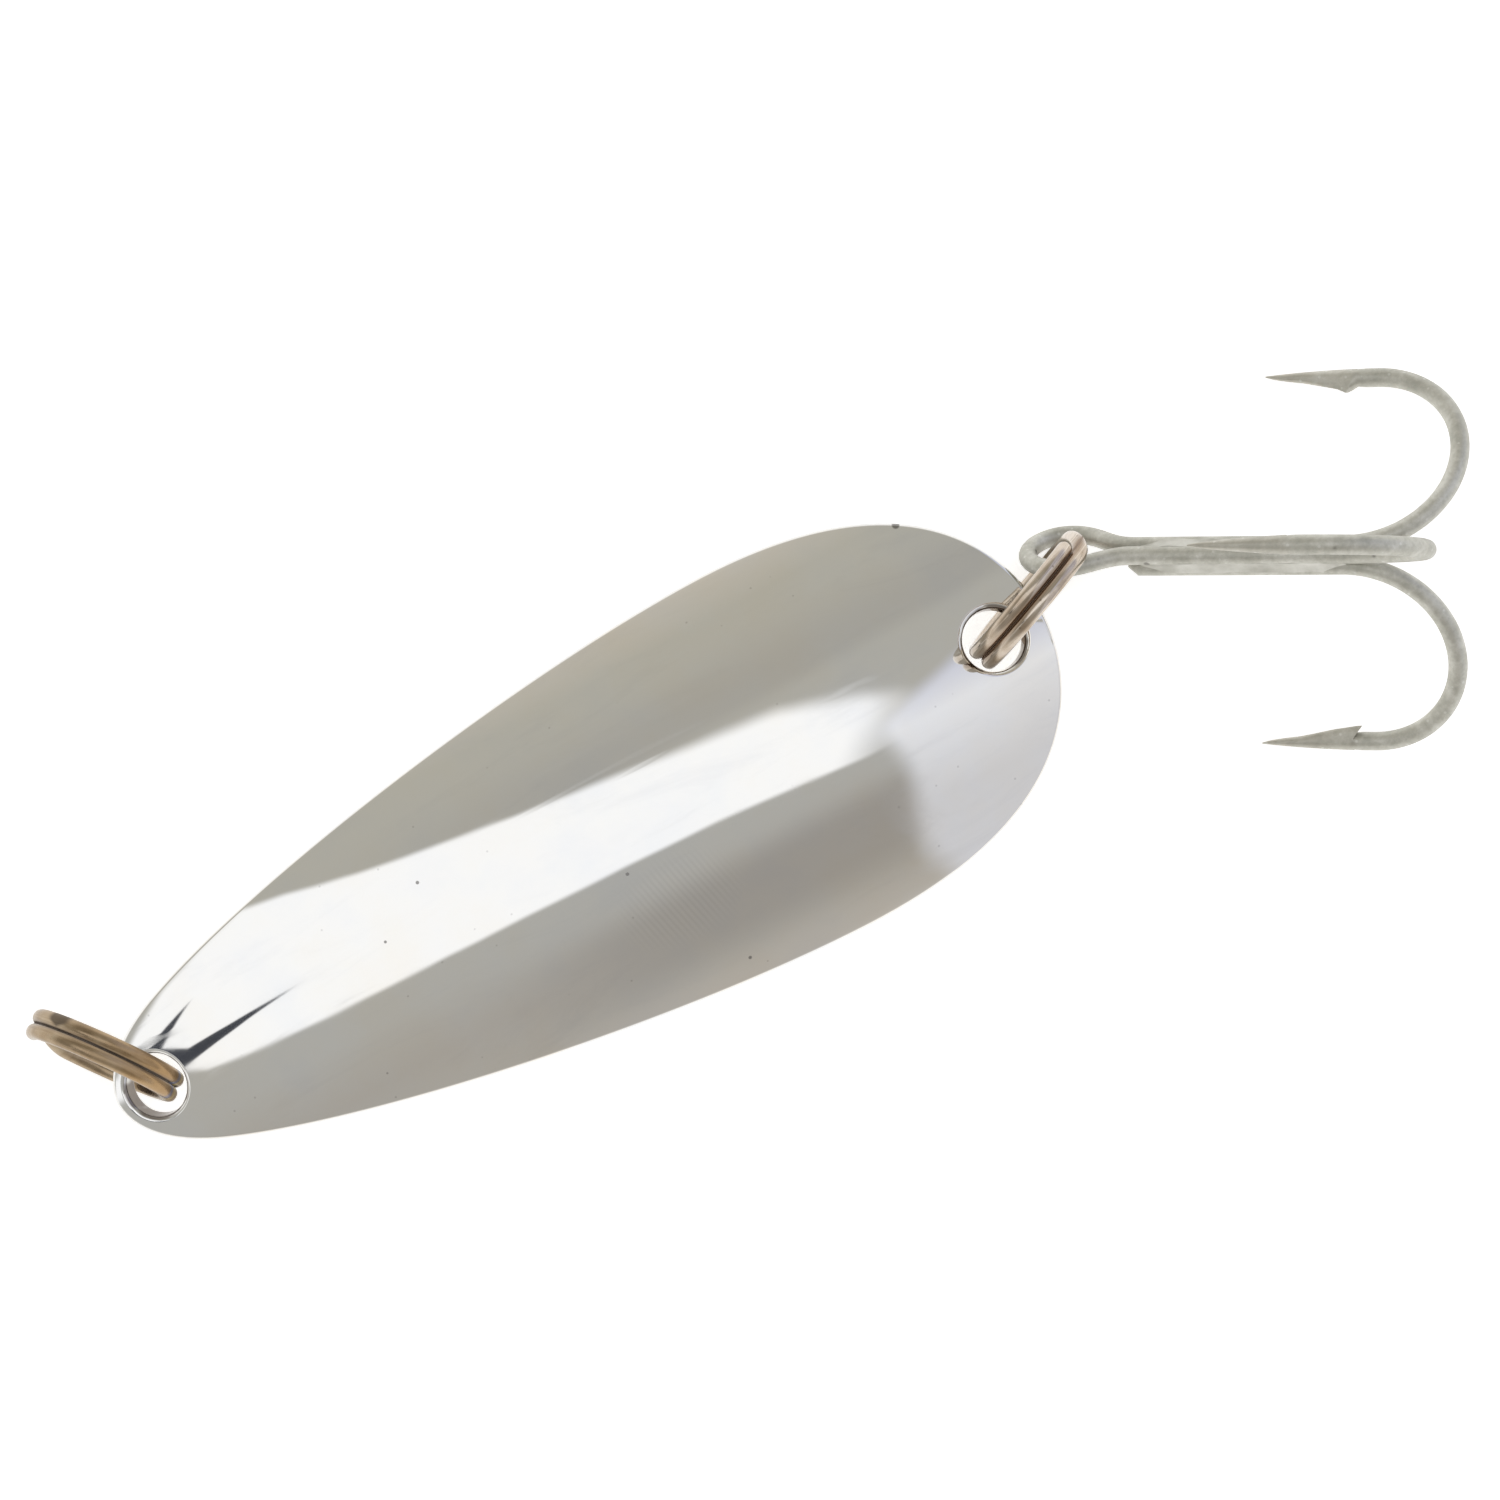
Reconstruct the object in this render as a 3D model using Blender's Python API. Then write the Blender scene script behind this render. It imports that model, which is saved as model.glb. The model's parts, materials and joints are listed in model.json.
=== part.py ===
"""Spoon lure: a stamped teardrop blade with a split ring in each end and a treble hook on the rear one.

It lies as it comes to rest on a table, with the blade's hollow side down: each split ring stands on edge in
its hole and carries an end of the blade, and the treble leans on its ring and on the points of two hooks.
+X runs along the blade from nose to tail, +Z is up, and the origin is the middle of the bounding box's foot.
"""

import math

import bmesh
import bpy
import numpy as np
from mathutils import Matrix, Vector
from mathutils.geometry import interpolate_bezier

MM = 0.001

# Blade: outline from nose (X = 0) to tail, then the bend of the sheet
BLADE_LENGTH = 57.0 * MM
BLADE_THICKNESS = 1.2 * MM
BLADE_HALF_WIDTH = 10.7 * MM
WIDEST_AT = 41.5 * MM
SHOULDER = (4.6 * MM, 4.4 * MM)
SHOULDER_SLOPE = 0.37
NOSE_FULLNESS = 0.5 * MM
SHOULDER_FULLNESS = (4.7 * MM, 8.9 * MM)
WIDEST_FULLNESS = (10.1 * MM, 14.8 * MM)
TAIL_FULLNESS = 1.7 * MM
CROWN_RADIUS = 20.0 * MM
RIDGE_HEIGHT = 5.92 * MM
RIDGE_TOP_AT = 25.0 * MM
ARCH_RADIUS = 140.0 * MM
NOSE_DROP = 1.25 * MM
NOSE_DROP_LENGTH = 5.0 * MM
RIM_ROUNDING = 0.3 * MM
HOLE_RADIUS = 1.75 * MM
NOSE_HOLE_AT = 2.5 * MM
TAIL_HOLE_AT = 53.9 * MM
CUTTER_LENGTH = 6.0 * MM

# Split rings: two turns of round wire
RING_OUTER_RADIUS = 4.4 * MM
RING_WIRE = 0.82 * MM
RING_PITCH = 0.86 * MM
RING_JOG_ANGLE = math.radians(55)

# Each ring: where it stands beside the nose tip, and the bar of blade that it is looped round,
# measured from the ring's centre along its heading and upwards
LINE_RING = {
    "centre": (1.04 * MM, 2.71 * MM),
    "heading": math.radians(127.8),
    "lean": math.radians(11),
    "bar": (-0.58 * MM, -1.23 * MM),
    "cut_end": math.radians(0),
}
HOOK_RING = {
    "centre": (56.62 * MM, 1.07 * MM),
    "heading": math.radians(22.4),
    "lean": math.radians(0.6),
    "bar": (-1.02 * MM, -2.32 * MM),
    "cut_end": math.radians(30),
}

# Treble: its own x runs from the eye down the shank, and its z points along the upright hook
HOOK_WIRE = 1.03 * MM
WIRE_GAP = 0.05 * MM
TREBLE_LENGTH = 23.9 * MM
GAPE = 11.4 * MM
BEND_MIDDLE = 6.3 * MM
BEND_INNER = 5.7 * MM
BEND_OUTER = 4.9 * MM
POINT_LENGTH = 11.2 * MM
POINT_TAPER = 5.1 * MM
POINT_TIP_RADIUS = 0.04 * MM
POINT_FULLNESS = 0.55
POINT_SET_IN = 0.35 * MM
BARB_ROOT = (2.9 * MM, 0.62 * MM)
BARB_POINT = (5.25 * MM, 1.41 * MM)
BARB_RADII = (0.3 * MM, 0.03 * MM)
EYE_WIDTH = 4.0 * MM
EYE_LENGTH = 6.4 * MM
EYE_SLOPE = 1.6 * MM
THREADED_AT = (2.6 * MM, -0.15 * MM, 0.1 * MM)
CUT_END_AT = 6.6 * MM
HOOK_ANGLES = {"upright": 0.0, "left": math.radians(120), "right": math.radians(-120)}
TREBLE_HEADING = math.radians(-28.5)
TREBLE_TILT = math.radians(19.7)
CROSSING_ANGLE = math.radians(-34)

# Braze: a bead in each groove between the shanks
BEAD_START = 7.2 * MM
BEAD_END = 17.4 * MM
BEAD_FLANK = ((0.24 * MM, 0.02 * MM), (0.38 * MM, 0.12 * MM), (0.50 * MM, 0.24 * MM))
BEAD_CREST = 0.47 * MM
BEAD_TAPER = 1.2 * MM
BEAD_END_SHARE = 0.35
GROOVE_ANGLES = {"double": math.radians(60), "left": math.radians(180), "right": math.radians(-60)}

WIRE_RESOLUTION = 2

FINISHES = {
    "polished_nickel": ((0.62, 0.61, 0.59), 0.08, 1.0),
    "tarnished_bronze": ((0.38, 0.29, 0.19), 0.3, 1.0),
    "nickel_wire": ((0.52, 0.46, 0.40), 0.22, 1.0),
    "tinned_steel": ((0.46, 0.45, 0.41), 0.5, 0.9),
    "braze": ((0.55, 0.54, 0.49), 0.45, 0.9),
}


def clear_scene():
    for obj in list(bpy.data.objects):
        bpy.data.objects.remove(obj, do_unlink=True)


def finish(name):
    """The named material, made the first time that it is asked for."""
    if name in bpy.data.materials:
        return bpy.data.materials[name]
    colour, roughness, metallic = FINISHES[name]
    material = bpy.data.materials.new(name)
    material.use_nodes = True
    shader = material.node_tree.nodes["Principled BSDF"]
    shader.inputs["Base Color"].default_value = (*colour, 1.0)
    shader.inputs["Roughness"].default_value = roughness
    shader.inputs["Metallic"].default_value = metallic
    return material


def add_object(name, mesh, material, place=Matrix(), parent=None):
    """Put a mesh in the scene at a place given in world axes, carried by its parent if it has one."""
    obj = bpy.data.objects.new(name, mesh)
    bpy.context.scene.collection.objects.link(obj)
    mesh.materials.clear()
    mesh.materials.append(finish(material))
    mesh.shade_smooth()
    mesh.set_sharp_from_angle(angle=math.radians(40))
    if parent:
        obj.parent = parent
        obj.matrix_parent_inverse = parent.matrix_world.inverted()
    obj.matrix_basis = place
    return obj


def add_pivot(name, place, parent=None):
    """An empty whose Z axis is a joint's axis."""
    pivot = bpy.data.objects.new(name, None)
    pivot.empty_display_size = 3 * MM
    bpy.context.scene.collection.objects.link(pivot)
    if parent:
        pivot.parent = parent
        pivot.matrix_parent_inverse = parent.matrix_world.inverted()
    pivot.matrix_basis = place
    bpy.context.view_layer.update()
    return pivot


def frame_of(origin, x_axis, z_axis):
    """A matrix whose columns are the given axes and the one that completes them."""
    x, z = Vector(x_axis).normalized(), Vector(z_axis).normalized()
    rotation = Matrix((x, z.cross(x), z)).transposed()
    return Matrix.Translation(origin) @ rotation.to_4x4()


# ---------------------------------------------------------------- blade


def crown_drop(y):
    """How far the crowned section has dropped at a distance y from the ridge."""
    return CROWN_RADIUS - math.sqrt(CROWN_RADIUS**2 - y * y)


def blade_top(x, y):
    """Height of the blade's outer face: a long arch that turns down at the nose, crowned from side to side."""
    arch = (x - RIDGE_TOP_AT) ** 2 / (2 * ARCH_RADIUS)
    nose = NOSE_DROP * math.exp(-x / NOSE_DROP_LENGTH)
    return RIDGE_HEIGHT - arch - nose - crown_drop(y)


def blade_normal(x, y):
    step = 0.01 * MM
    along = (blade_top(x + step, y) - blade_top(x - step, y)) / (2 * step)
    across = (blade_top(x, y + step) - blade_top(x, y - step)) / (2 * step)
    return Vector((-along, -across, 1)).normalized()


def blade_outline(points_per_span=16):
    """Two lists, x and half width, from nose tip to tail end, along three Bezier spans."""
    shoulder = Vector((*SHOULDER, 0))
    rise = Vector((math.cos(SHOULDER_SLOPE), math.sin(SHOULDER_SLOPE), 0))
    widest = Vector((WIDEST_AT, BLADE_HALF_WIDTH, 0))
    tail = Vector((BLADE_LENGTH, 0, 0))
    along, out = Vector((1, 0, 0)), Vector((0, 1, 0))
    spans = (
        (Vector(), NOSE_FULLNESS * out, shoulder - SHOULDER_FULLNESS[0] * rise, shoulder),
        (shoulder, shoulder + SHOULDER_FULLNESS[1] * rise, widest - WIDEST_FULLNESS[0] * along, widest),
        (widest, widest + WIDEST_FULLNESS[1] * along, tail + TAIL_FULLNESS * out, tail),
    )
    stations = []
    for start, handle_out, handle_in, end in spans:
        curve = interpolate_bezier(start, handle_out, handle_in, end, points_per_span)
        stations += curve if not stations else curve[1:]
    return [point.x for point in stations], [point.y for point in stations]


def blade_sheet(rows=44, columns=16):
    """The outer face: a square grid drawn out to a disc, and the disc fitted to the outline."""
    stations, half_widths = blade_outline()
    bm = bmesh.new()
    bmesh.ops.create_grid(bm, x_segments=rows, y_segments=columns, size=1)
    for vertex in bm.verts:
        u, v, _ = vertex.co
        along, across = u * math.sqrt(1 - v * v / 2), v * math.sqrt(1 - u * u / 2)
        chord = math.sqrt(max(1 - along * along, across * across))
        x = BLADE_LENGTH * (1 + along) / 2
        y = np.interp(x, stations, half_widths) * (across / chord if across else 0)
        vertex.co = (x, y, blade_top(x, y))
    mesh = bpy.data.meshes.new("blade")
    bm.to_mesh(mesh)
    bm.free()
    return mesh


def add_hole_cutter(name, x, blade):
    """A cylinder square to the sheet at a hole's centre."""
    bm = bmesh.new()
    bmesh.ops.create_cone(
        bm, cap_ends=True, segments=32, radius1=HOLE_RADIUS, radius2=HOLE_RADIUS, depth=CUTTER_LENGTH
    )
    mesh = bpy.data.meshes.new(name)
    bm.to_mesh(mesh)
    bm.free()
    normal = blade_normal(x, 0)
    place = frame_of((x, 0, blade_top(x, 0)), Vector((0, 1, 0)).cross(normal), normal)
    cutter = add_object(name, mesh, "polished_nickel", place, blade)
    cutter.hide_render = True
    cutter.display_type = "WIRE"
    return cutter


def add_blade():
    blade = add_object("blade", blade_sheet(), "polished_nickel")
    sheet = blade.modifiers.new("sheet", "SOLIDIFY")
    sheet.thickness = BLADE_THICKNESS
    sheet.offset = -1
    sheet.use_even_offset = True
    rounding = blade.modifiers.new("rim", "BEVEL")
    rounding.width = RIM_ROUNDING
    rounding.segments = 2
    rounding.limit_method = "ANGLE"
    rounding.angle_limit = math.radians(50)
    for name, x in (("nose_hole_cutter", NOSE_HOLE_AT), ("tail_hole_cutter", TAIL_HOLE_AT)):
        hole = blade.modifiers.new(name, "BOOLEAN")
        hole.operation = "DIFFERENCE"
        hole.object = add_hole_cutter(name, x, blade)
    return blade


# ---------------------------------------------------------------- wire


def wire_mesh(name, points, radii, wire_radius):
    """A closed round wire along the points. Each radius is a share of the wire's own."""
    curve = bpy.data.curves.new(name + "_path", "CURVE")
    curve.dimensions = "3D"
    curve.bevel_depth = wire_radius
    curve.bevel_resolution = WIRE_RESOLUTION
    curve.use_fill_caps = True
    spline = curve.splines.new("POLY")
    spline.points.add(len(points) - 1)
    for target, point, radius in zip(spline.points, points, radii):
        target.co = (*point, 1)
        target.radius = radius
    guide = bpy.data.objects.new(name + "_path", curve)
    bpy.context.scene.collection.objects.link(guide)
    graph = bpy.context.evaluated_depsgraph_get()
    mesh = bpy.data.meshes.new_from_object(guide.evaluated_get(graph), depsgraph=graph)
    mesh.name = name
    bpy.data.objects.remove(guide, do_unlink=True)
    bpy.data.curves.remove(curve)
    bm = bmesh.new()
    bm.from_mesh(mesh)
    bmesh.ops.remove_doubles(bm, verts=bm.verts, dist=0.0005 * MM)
    bmesh.ops.recalc_face_normals(bm, faces=bm.faces)
    bm.to_mesh(mesh)
    bm.free()
    return mesh


# ---------------------------------------------------------------- split rings


def ring_height(angle):
    """Where the wire lies along the ring's axis: the first turn below, a jog, then the second turn above."""
    jog_start = 2 * math.pi - RING_JOG_ANGLE
    share = min(max((angle - jog_start) / RING_JOG_ANGLE, 0), 1)
    return RING_PITCH * (share * share * (3 - 2 * share) - 0.5)


def split_ring_mesh(name, start_angle, steps_per_turn=40):
    """Two turns of wire about Z. Each cut end stops beside the jog."""
    radius = RING_OUTER_RADIUS - RING_WIRE / 2
    turn = 4 * math.pi - RING_JOG_ANGLE
    steps = round(steps_per_turn * turn / (2 * math.pi))
    points = []
    for i in range(steps + 1):
        angle = turn * i / steps
        around = angle + start_angle
        points.append((radius * math.cos(around), radius * math.sin(around), ring_height(angle)))
    return wire_mesh(name, points, [1] * len(points), RING_WIRE / 2)


def ring_frame(ring):
    """A ring standing on the table: local X is its heading, local Y leans off the vertical, Z is its axis."""
    heading, lean = ring["heading"], ring["lean"]
    outward = Vector((math.cos(heading), math.sin(heading), 0))
    side = Vector((math.sin(heading), -math.cos(heading), 0))
    upward = Vector((0, 0, 1)) * math.cos(lean) + side * math.sin(lean)
    half_thickness = (RING_PITCH + RING_WIRE) / 2
    height = RING_OUTER_RADIUS * math.cos(lean) + half_thickness * abs(math.sin(lean))
    return frame_of((*ring["centre"], height), outward, outward.cross(upward))


def add_ring(name, material, ring, blade):
    """A split ring that swings about the bar of metal between a hole and the blade's edge."""
    frame = ring_frame(ring)
    pivot = add_pivot(name + "_pivot", frame @ Matrix.Translation((*ring["bar"], 0)), blade)
    add_object(name, split_ring_mesh(name, ring["cut_end"]), material, frame, pivot)
    return pivot


# ---------------------------------------------------------------- treble hook


def shank_offset():
    """Distance from the treble's axis to the middle of each of its three packed wires."""
    return (HOOK_WIRE + WIRE_GAP) / 2 / math.sin(math.radians(60))


def about_axis(x, radius, angle, across=0.0):
    """A point beside the treble's axis, in the plane that lies at the given angle from the upright hook."""
    turn = Matrix.Rotation(-angle, 3, "X")
    return turn @ Vector((x, across, radius))


def point_start():
    return TREBLE_LENGTH - HOOK_WIRE / 2 - POINT_LENGTH


def hook_side(taper_steps=9, bend_steps=9):
    """One hook in its own plane, from point to shank: (x, distance from the treble's axis, radius share)."""
    outer = GAPE + HOOK_WIRE / 2
    bend_x = TREBLE_LENGTH - HOOK_WIRE / 2
    straight = POINT_LENGTH - BEND_OUTER
    path = []
    for i in range(taper_steps + 1):
        along = POINT_TAPER * i / taper_steps
        share = max((i / taper_steps) ** POINT_FULLNESS, POINT_TIP_RADIUS / (HOOK_WIRE / 2))
        set_in = POINT_SET_IN * (1 - along / straight) ** 2
        path.append((point_start() + along, outer - share * HOOK_WIRE / 2 - set_in, share))
    for i in range(bend_steps + 1):
        angle = math.pi / 2 * (1 - i / bend_steps)
        x = bend_x - BEND_OUTER * (1 - math.cos(angle))
        path.append((x, BEND_MIDDLE + (GAPE - BEND_MIDDLE) * math.sin(angle), 1))
    for i in range(1, bend_steps + 1):
        angle = math.pi / 2 * i / bend_steps
        x = bend_x - BEND_INNER * (1 - math.cos(angle))
        path.append((x, BEND_MIDDLE - (BEND_MIDDLE - shank_offset()) * math.sin(angle), 1))
    return path


def eye_frame():
    """Local X runs down the shank, local Y from the left hook's shank to the upright one's."""
    first = about_axis(0, shank_offset(), HOOK_ANGLES["upright"])
    second = about_axis(0, shank_offset(), HOOK_ANGLES["left"])
    along = Vector((1, 0, 0))
    return frame_of((first + second) / 2, along, along.cross(first - second))


def eye_loop(arm_points=9, crown_steps=12):
    """The eye, from the upright hook's shank round to the left hook's, in the plane that holds both."""
    frame = eye_frame()
    half = EYE_WIDTH / 2
    crown_x = HOOK_WIRE / 2 + half
    slope = Vector((EYE_SLOPE, 0, 0))
    neck = Vector((EYE_LENGTH, (HOOK_WIRE + WIRE_GAP) / 2, 0))
    shoulder = Vector((crown_x, half, 0))
    arm = interpolate_bezier(neck, neck - slope, shoulder + slope, shoulder, arm_points)
    crown = [math.pi / 2 + math.pi * i / crown_steps for i in range(1, crown_steps)]
    outline = [(point.x, point.y) for point in arm]
    outline += [(crown_x + half * math.cos(a), half * math.sin(a)) for a in crown]
    outline += [(point.x, -point.y) for point in reversed(arm)]
    return [frame @ Vector((x, width, 0)) for x, width in outline]


def barb_mesh(name, angle):
    """A thin wedge that is cut up from the inside of a point and leans back towards the bend."""
    outer = GAPE + HOOK_WIRE / 2
    root, tip = (about_axis(point_start() + x, outer - depth, angle) for x, depth in (BARB_ROOT, BARB_POINT))
    bm = bmesh.new()
    bmesh.ops.create_cone(
        bm, cap_ends=True, segments=8, radius1=BARB_RADII[0], radius2=BARB_RADII[1], depth=(tip - root).length
    )
    bm.transform(frame_of((root + tip) / 2, (tip - root).orthogonal(), tip - root))
    mesh = bpy.data.meshes.new(name)
    bm.to_mesh(mesh)
    bm.free()
    return mesh


def add_barb(wire, hook, place, parent):
    """The barb of one hook, joined to the hook's wire."""
    name = hook + "_barb"
    barb = add_object(name, barb_mesh(name, HOOK_ANGLES[hook]), "tinned_steel", place, parent)
    barb.hide_render = True
    barb.display_type = "WIRE"
    union = wire.modifiers.new(name, "BOOLEAN")
    union.operation = "UNION"
    union.object = barb


def add_double_hook(place, parent):
    """One wire: the upright hook, its shank, the eye, and back down to the left hook."""
    side = hook_side()
    shares = [share for _, _, share in side]
    eye = eye_loop()
    points = [about_axis(x, radius, HOOK_ANGLES["upright"]) for x, radius, _ in side]
    points += eye
    points += [about_axis(x, radius, HOOK_ANGLES["left"]) for x, radius, _ in reversed(side)]
    mesh = wire_mesh("treble_double_hook", points, shares + [1] * len(eye) + shares[::-1], HOOK_WIRE / 2)
    wire = add_object("treble_double_hook", mesh, "tinned_steel", place, parent)
    add_barb(wire, "upright", place, parent)
    add_barb(wire, "left", place, parent)


def add_single_hook(place, parent):
    """The third hook, whose shank is cut off short of the eye."""
    path = hook_side() + [(CUT_END_AT, shank_offset(), 1)]
    points = [about_axis(x, radius, HOOK_ANGLES["right"]) for x, radius, _ in path]
    mesh = wire_mesh("treble_single_hook", points, [share for _, _, share in path], HOOK_WIRE / 2)
    wire = add_object("treble_single_hook", mesh, "tinned_steel", place, parent)
    add_barb(wire, "right", place, parent)


def bead_mesh(name, angle, steps=10):
    """A bead of braze that lies in the groove facing the given angle, and thins out at both ends."""
    base = shank_offset() * math.cos(math.radians(60))
    foot = BEAD_FLANK[0][0]
    section = [*BEAD_FLANK, (BEAD_CREST, 0), *((height, -half) for height, half in reversed(BEAD_FLANK))]
    bm = bmesh.new()
    loops = []
    for i in range(steps + 1):
        x = BEAD_START + (BEAD_END - BEAD_START) * i / steps
        from_end = min(x - BEAD_START, BEAD_END - x)
        full = min(1.0, BEAD_END_SHARE + (1 - BEAD_END_SHARE) * from_end / BEAD_TAPER)
        loops.append(
            [
                bm.verts.new(about_axis(x, base + foot + (height - foot) * full, angle, half * full))
                for height, half in section
            ]
        )
    for near, far in zip(loops, loops[1:]):
        for j in range(len(section)):
            bm.faces.new((near[j - 1], near[j], far[j], far[j - 1]))
    bm.faces.new(loops[0])
    bm.faces.new(loops[-1])
    bmesh.ops.recalc_face_normals(bm, faces=bm.faces)
    mesh = bpy.data.meshes.new(name)
    bm.to_mesh(mesh)
    bm.free()
    return mesh


def treble_frame(crossing):
    """The treble's own frame, placed so that the ring's wire runs through its eye."""
    turn = Matrix.Rotation(TREBLE_HEADING, 4, "Z") @ Matrix.Rotation(-TREBLE_TILT, 4, "Y")
    return Matrix.Translation(crossing - turn @ eye_frame() @ Vector(THREADED_AT)) @ turn


def add_treble(hook_ring_pivot):
    """The treble swings about the wire of the hook ring, where that wire runs through the eye."""
    radial = Vector((math.cos(CROSSING_ANGLE), math.sin(CROSSING_ANGLE), 0))
    tangent = Vector((-radial.y, radial.x, 0))
    crossing = radial * (RING_OUTER_RADIUS - RING_WIRE / 2)
    frame = ring_frame(HOOK_RING) @ frame_of(crossing, radial, tangent)
    pivot = add_pivot("treble_pivot", frame, hook_ring_pivot)
    place = treble_frame(frame.translation)
    add_double_hook(place, pivot)
    add_single_hook(place, pivot)
    for groove, angle in GROOVE_ANGLES.items():
        name = "braze_bead_" + groove
        add_object(name, bead_mesh(name, angle), "braze", place, pivot)


def centre_on_origin(root):
    """Shift the root, which carries everything, so that the bounding box's foot is centred on the origin."""
    bpy.context.view_layer.update()
    graph = bpy.context.evaluated_depsgraph_get()
    corners = []
    for obj in bpy.context.scene.objects:
        if obj.type == "MESH" and not obj.hide_render:
            evaluated = obj.evaluated_get(graph)
            corners += [evaluated.matrix_world @ vertex.co for vertex in evaluated.to_mesh().vertices]
            evaluated.to_mesh_clear()
    low = Vector([min(corner[i] for corner in corners) for i in range(3)])
    high = Vector([max(corner[i] for corner in corners) for i in range(3)])
    root.location -= Vector(((low.x + high.x) / 2, (low.y + high.y) / 2, low.z))


def main():
    clear_scene()
    blade = add_blade()
    add_ring("line_tie_ring", "tarnished_bronze", LINE_RING, blade)
    add_treble(add_ring("hook_ring", "nickel_wire", HOOK_RING, blade))
    centre_on_origin(blade)


main()
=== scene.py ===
"""Spoon lure: fine meshes and finishes for a stamped blade, its two split rings and its treble hook."""

import json
import math

import bmesh
import bpy
from mathutils import Matrix, Vector
from mathutils.geometry import delaunay_2d_cdt, interpolate_bezier


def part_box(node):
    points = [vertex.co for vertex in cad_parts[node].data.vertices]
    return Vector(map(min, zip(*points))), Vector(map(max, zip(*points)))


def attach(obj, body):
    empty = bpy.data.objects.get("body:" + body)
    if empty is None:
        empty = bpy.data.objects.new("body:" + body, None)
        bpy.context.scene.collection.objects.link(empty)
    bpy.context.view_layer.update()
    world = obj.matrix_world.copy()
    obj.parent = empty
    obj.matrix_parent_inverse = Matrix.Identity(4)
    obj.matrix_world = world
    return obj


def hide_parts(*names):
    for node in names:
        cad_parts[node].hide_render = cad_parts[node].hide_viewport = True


bl_info = {
    "name": "Spoon lure",
    "version": (1, 0, 0),
    "blender": (4, 5, 0),
    "location": "View3D > Sidebar > Spoon lure",
    "description": "Builds the fine meshes, finishes and studio of a stamped spoon lure",
    "category": "Object",
}

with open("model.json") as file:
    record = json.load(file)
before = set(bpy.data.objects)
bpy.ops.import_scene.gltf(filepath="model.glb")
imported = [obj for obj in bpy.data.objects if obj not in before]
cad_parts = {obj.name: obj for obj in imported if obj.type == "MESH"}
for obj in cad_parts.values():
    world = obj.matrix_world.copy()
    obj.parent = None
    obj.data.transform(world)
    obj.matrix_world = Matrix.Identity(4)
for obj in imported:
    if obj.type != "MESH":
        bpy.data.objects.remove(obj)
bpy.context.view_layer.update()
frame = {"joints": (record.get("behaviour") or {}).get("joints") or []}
JOINTS = {joint["name"]: joint for joint in frame["joints"]}
MM = 0.001


# ---------------------------------------------------------------- sizes and colours


class BladeSettings(bpy.types.PropertyGroup):
    """The stamped blade: its outline runs from the nose (x = 0) to the tail."""

    length: bpy.props.FloatProperty(
        name="Length", description="Nose tip to tail end", default=57.0 * MM, unit="LENGTH"
    )
    thickness: bpy.props.FloatProperty(
        name="Thickness", description="Of the sheet", default=1.2 * MM, unit="LENGTH"
    )
    half_width: bpy.props.FloatProperty(
        name="Half width", description="At the widest place", default=10.65 * MM, unit="LENGTH"
    )
    widest_at: bpy.props.FloatProperty(
        name="Widest at", description="Distance from the nose", default=41.5 * MM, unit="LENGTH"
    )
    crown_radius: bpy.props.FloatProperty(
        name="Crown radius", description="Radius of the section across", default=20.0 * MM, unit="LENGTH"
    )
    arch_radius: bpy.props.FloatProperty(
        name="Arch radius", description="Radius of the bend lengthwise", default=140.0 * MM, unit="LENGTH"
    )
    ridge_at: bpy.props.FloatProperty(
        name="Ridge top at", description="Highest place, from the nose", default=25.0 * MM, unit="LENGTH"
    )
    nose_drop: bpy.props.FloatProperty(
        name="Nose drop", description="How far the nose turns down", default=1.25 * MM, unit="LENGTH"
    )
    nose_drop_length: bpy.props.FloatProperty(
        name="Nose drop length", description="How soon the turn fades", default=5.0 * MM, unit="LENGTH"
    )
    rim_rounding: bpy.props.FloatProperty(
        name="Rim rounding", description="Radius along the outline", default=0.26 * MM, unit="LENGTH"
    )
    hole_rounding: bpy.props.FloatProperty(
        name="Hole rounding", description="Radius at the holes' outer edge", default=0.30 * MM, unit="LENGTH"
    )
    hole_radius: bpy.props.FloatProperty(
        name="Hole radius", description="Of both punched holes", default=1.75 * MM, unit="LENGTH"
    )
    nose_hole_at: bpy.props.FloatProperty(
        name="Nose hole at", description="Distance from the nose", default=2.5 * MM, unit="LENGTH"
    )
    tail_hole_at: bpy.props.FloatProperty(
        name="Tail hole at", description="Distance from the nose", default=53.9 * MM, unit="LENGTH"
    )
    colour: bpy.props.FloatVectorProperty(
        name="Colour", description="Polished nickel", default=(0.83, 0.82, 0.795), subtype="COLOR"
    )


class RingSettings(bpy.types.PropertyGroup):
    """The two split rings, each two turns of round wire."""

    outer_radius: bpy.props.FloatProperty(
        name="Outer radius", description="Of the ring", default=4.4 * MM, unit="LENGTH"
    )
    wire: bpy.props.FloatProperty(
        name="Wire", description="Diameter of the wire", default=0.84 * MM, unit="LENGTH"
    )
    pitch: bpy.props.FloatProperty(
        name="Pitch", description="From one turn to the next", default=0.84 * MM, unit="LENGTH"
    )
    jog: bpy.props.FloatProperty(
        name="Jog", description="Where the wire changes turns", default=math.radians(55), subtype="ANGLE"
    )
    line_ring_colour: bpy.props.FloatVectorProperty(
        name="Line ring colour", description="Tarnished wire", default=(0.36, 0.27, 0.175), subtype="COLOR"
    )
    hook_ring_colour: bpy.props.FloatVectorProperty(
        name="Hook ring colour", description="Bright wire", default=(0.57, 0.49, 0.405), subtype="COLOR"
    )


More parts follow.
